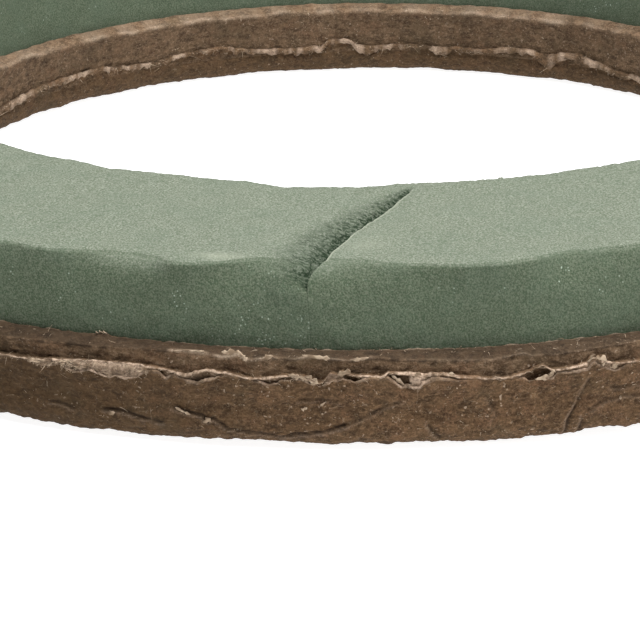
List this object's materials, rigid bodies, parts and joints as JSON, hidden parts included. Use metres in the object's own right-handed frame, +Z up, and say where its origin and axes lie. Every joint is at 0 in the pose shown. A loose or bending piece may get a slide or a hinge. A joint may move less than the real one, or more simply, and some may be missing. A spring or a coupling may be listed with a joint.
{
  "type": "floral foam ring with fibre base",
  "caption": "Wreath ring of dry green floral foam arcs glued into a brown pressed-fibre channel with torn outer edges.",
  "frame": {"origin": "centre of the ring, on the surface that it stands on", "axes": "+Z up along the ring's axis; -Y is the front, where the notched joint is; +X to the right"},
  "size_m": [0.3, 0.3, 0.032],
  "materials": {
    "wrap_fibre": "matte",
    "channel_fibre": "matte",
    "foam": "matte",
    "glue": "satin"
  },
  "bodies": {
    "root": {"outer_wrap": "wrap_fibre", "fibre_channel": "channel_fibre", "foam_arc_front_right": "foam", "foam_arc_back_right": "foam", "foam_arc_back_left": "foam", "foam_arc_front_left": "foam", "glue_front_right": "glue", "glue_back_right": "glue", "glue_back_left": "glue", "glue_front_left": "glue"}
  },
  "joints": []
}
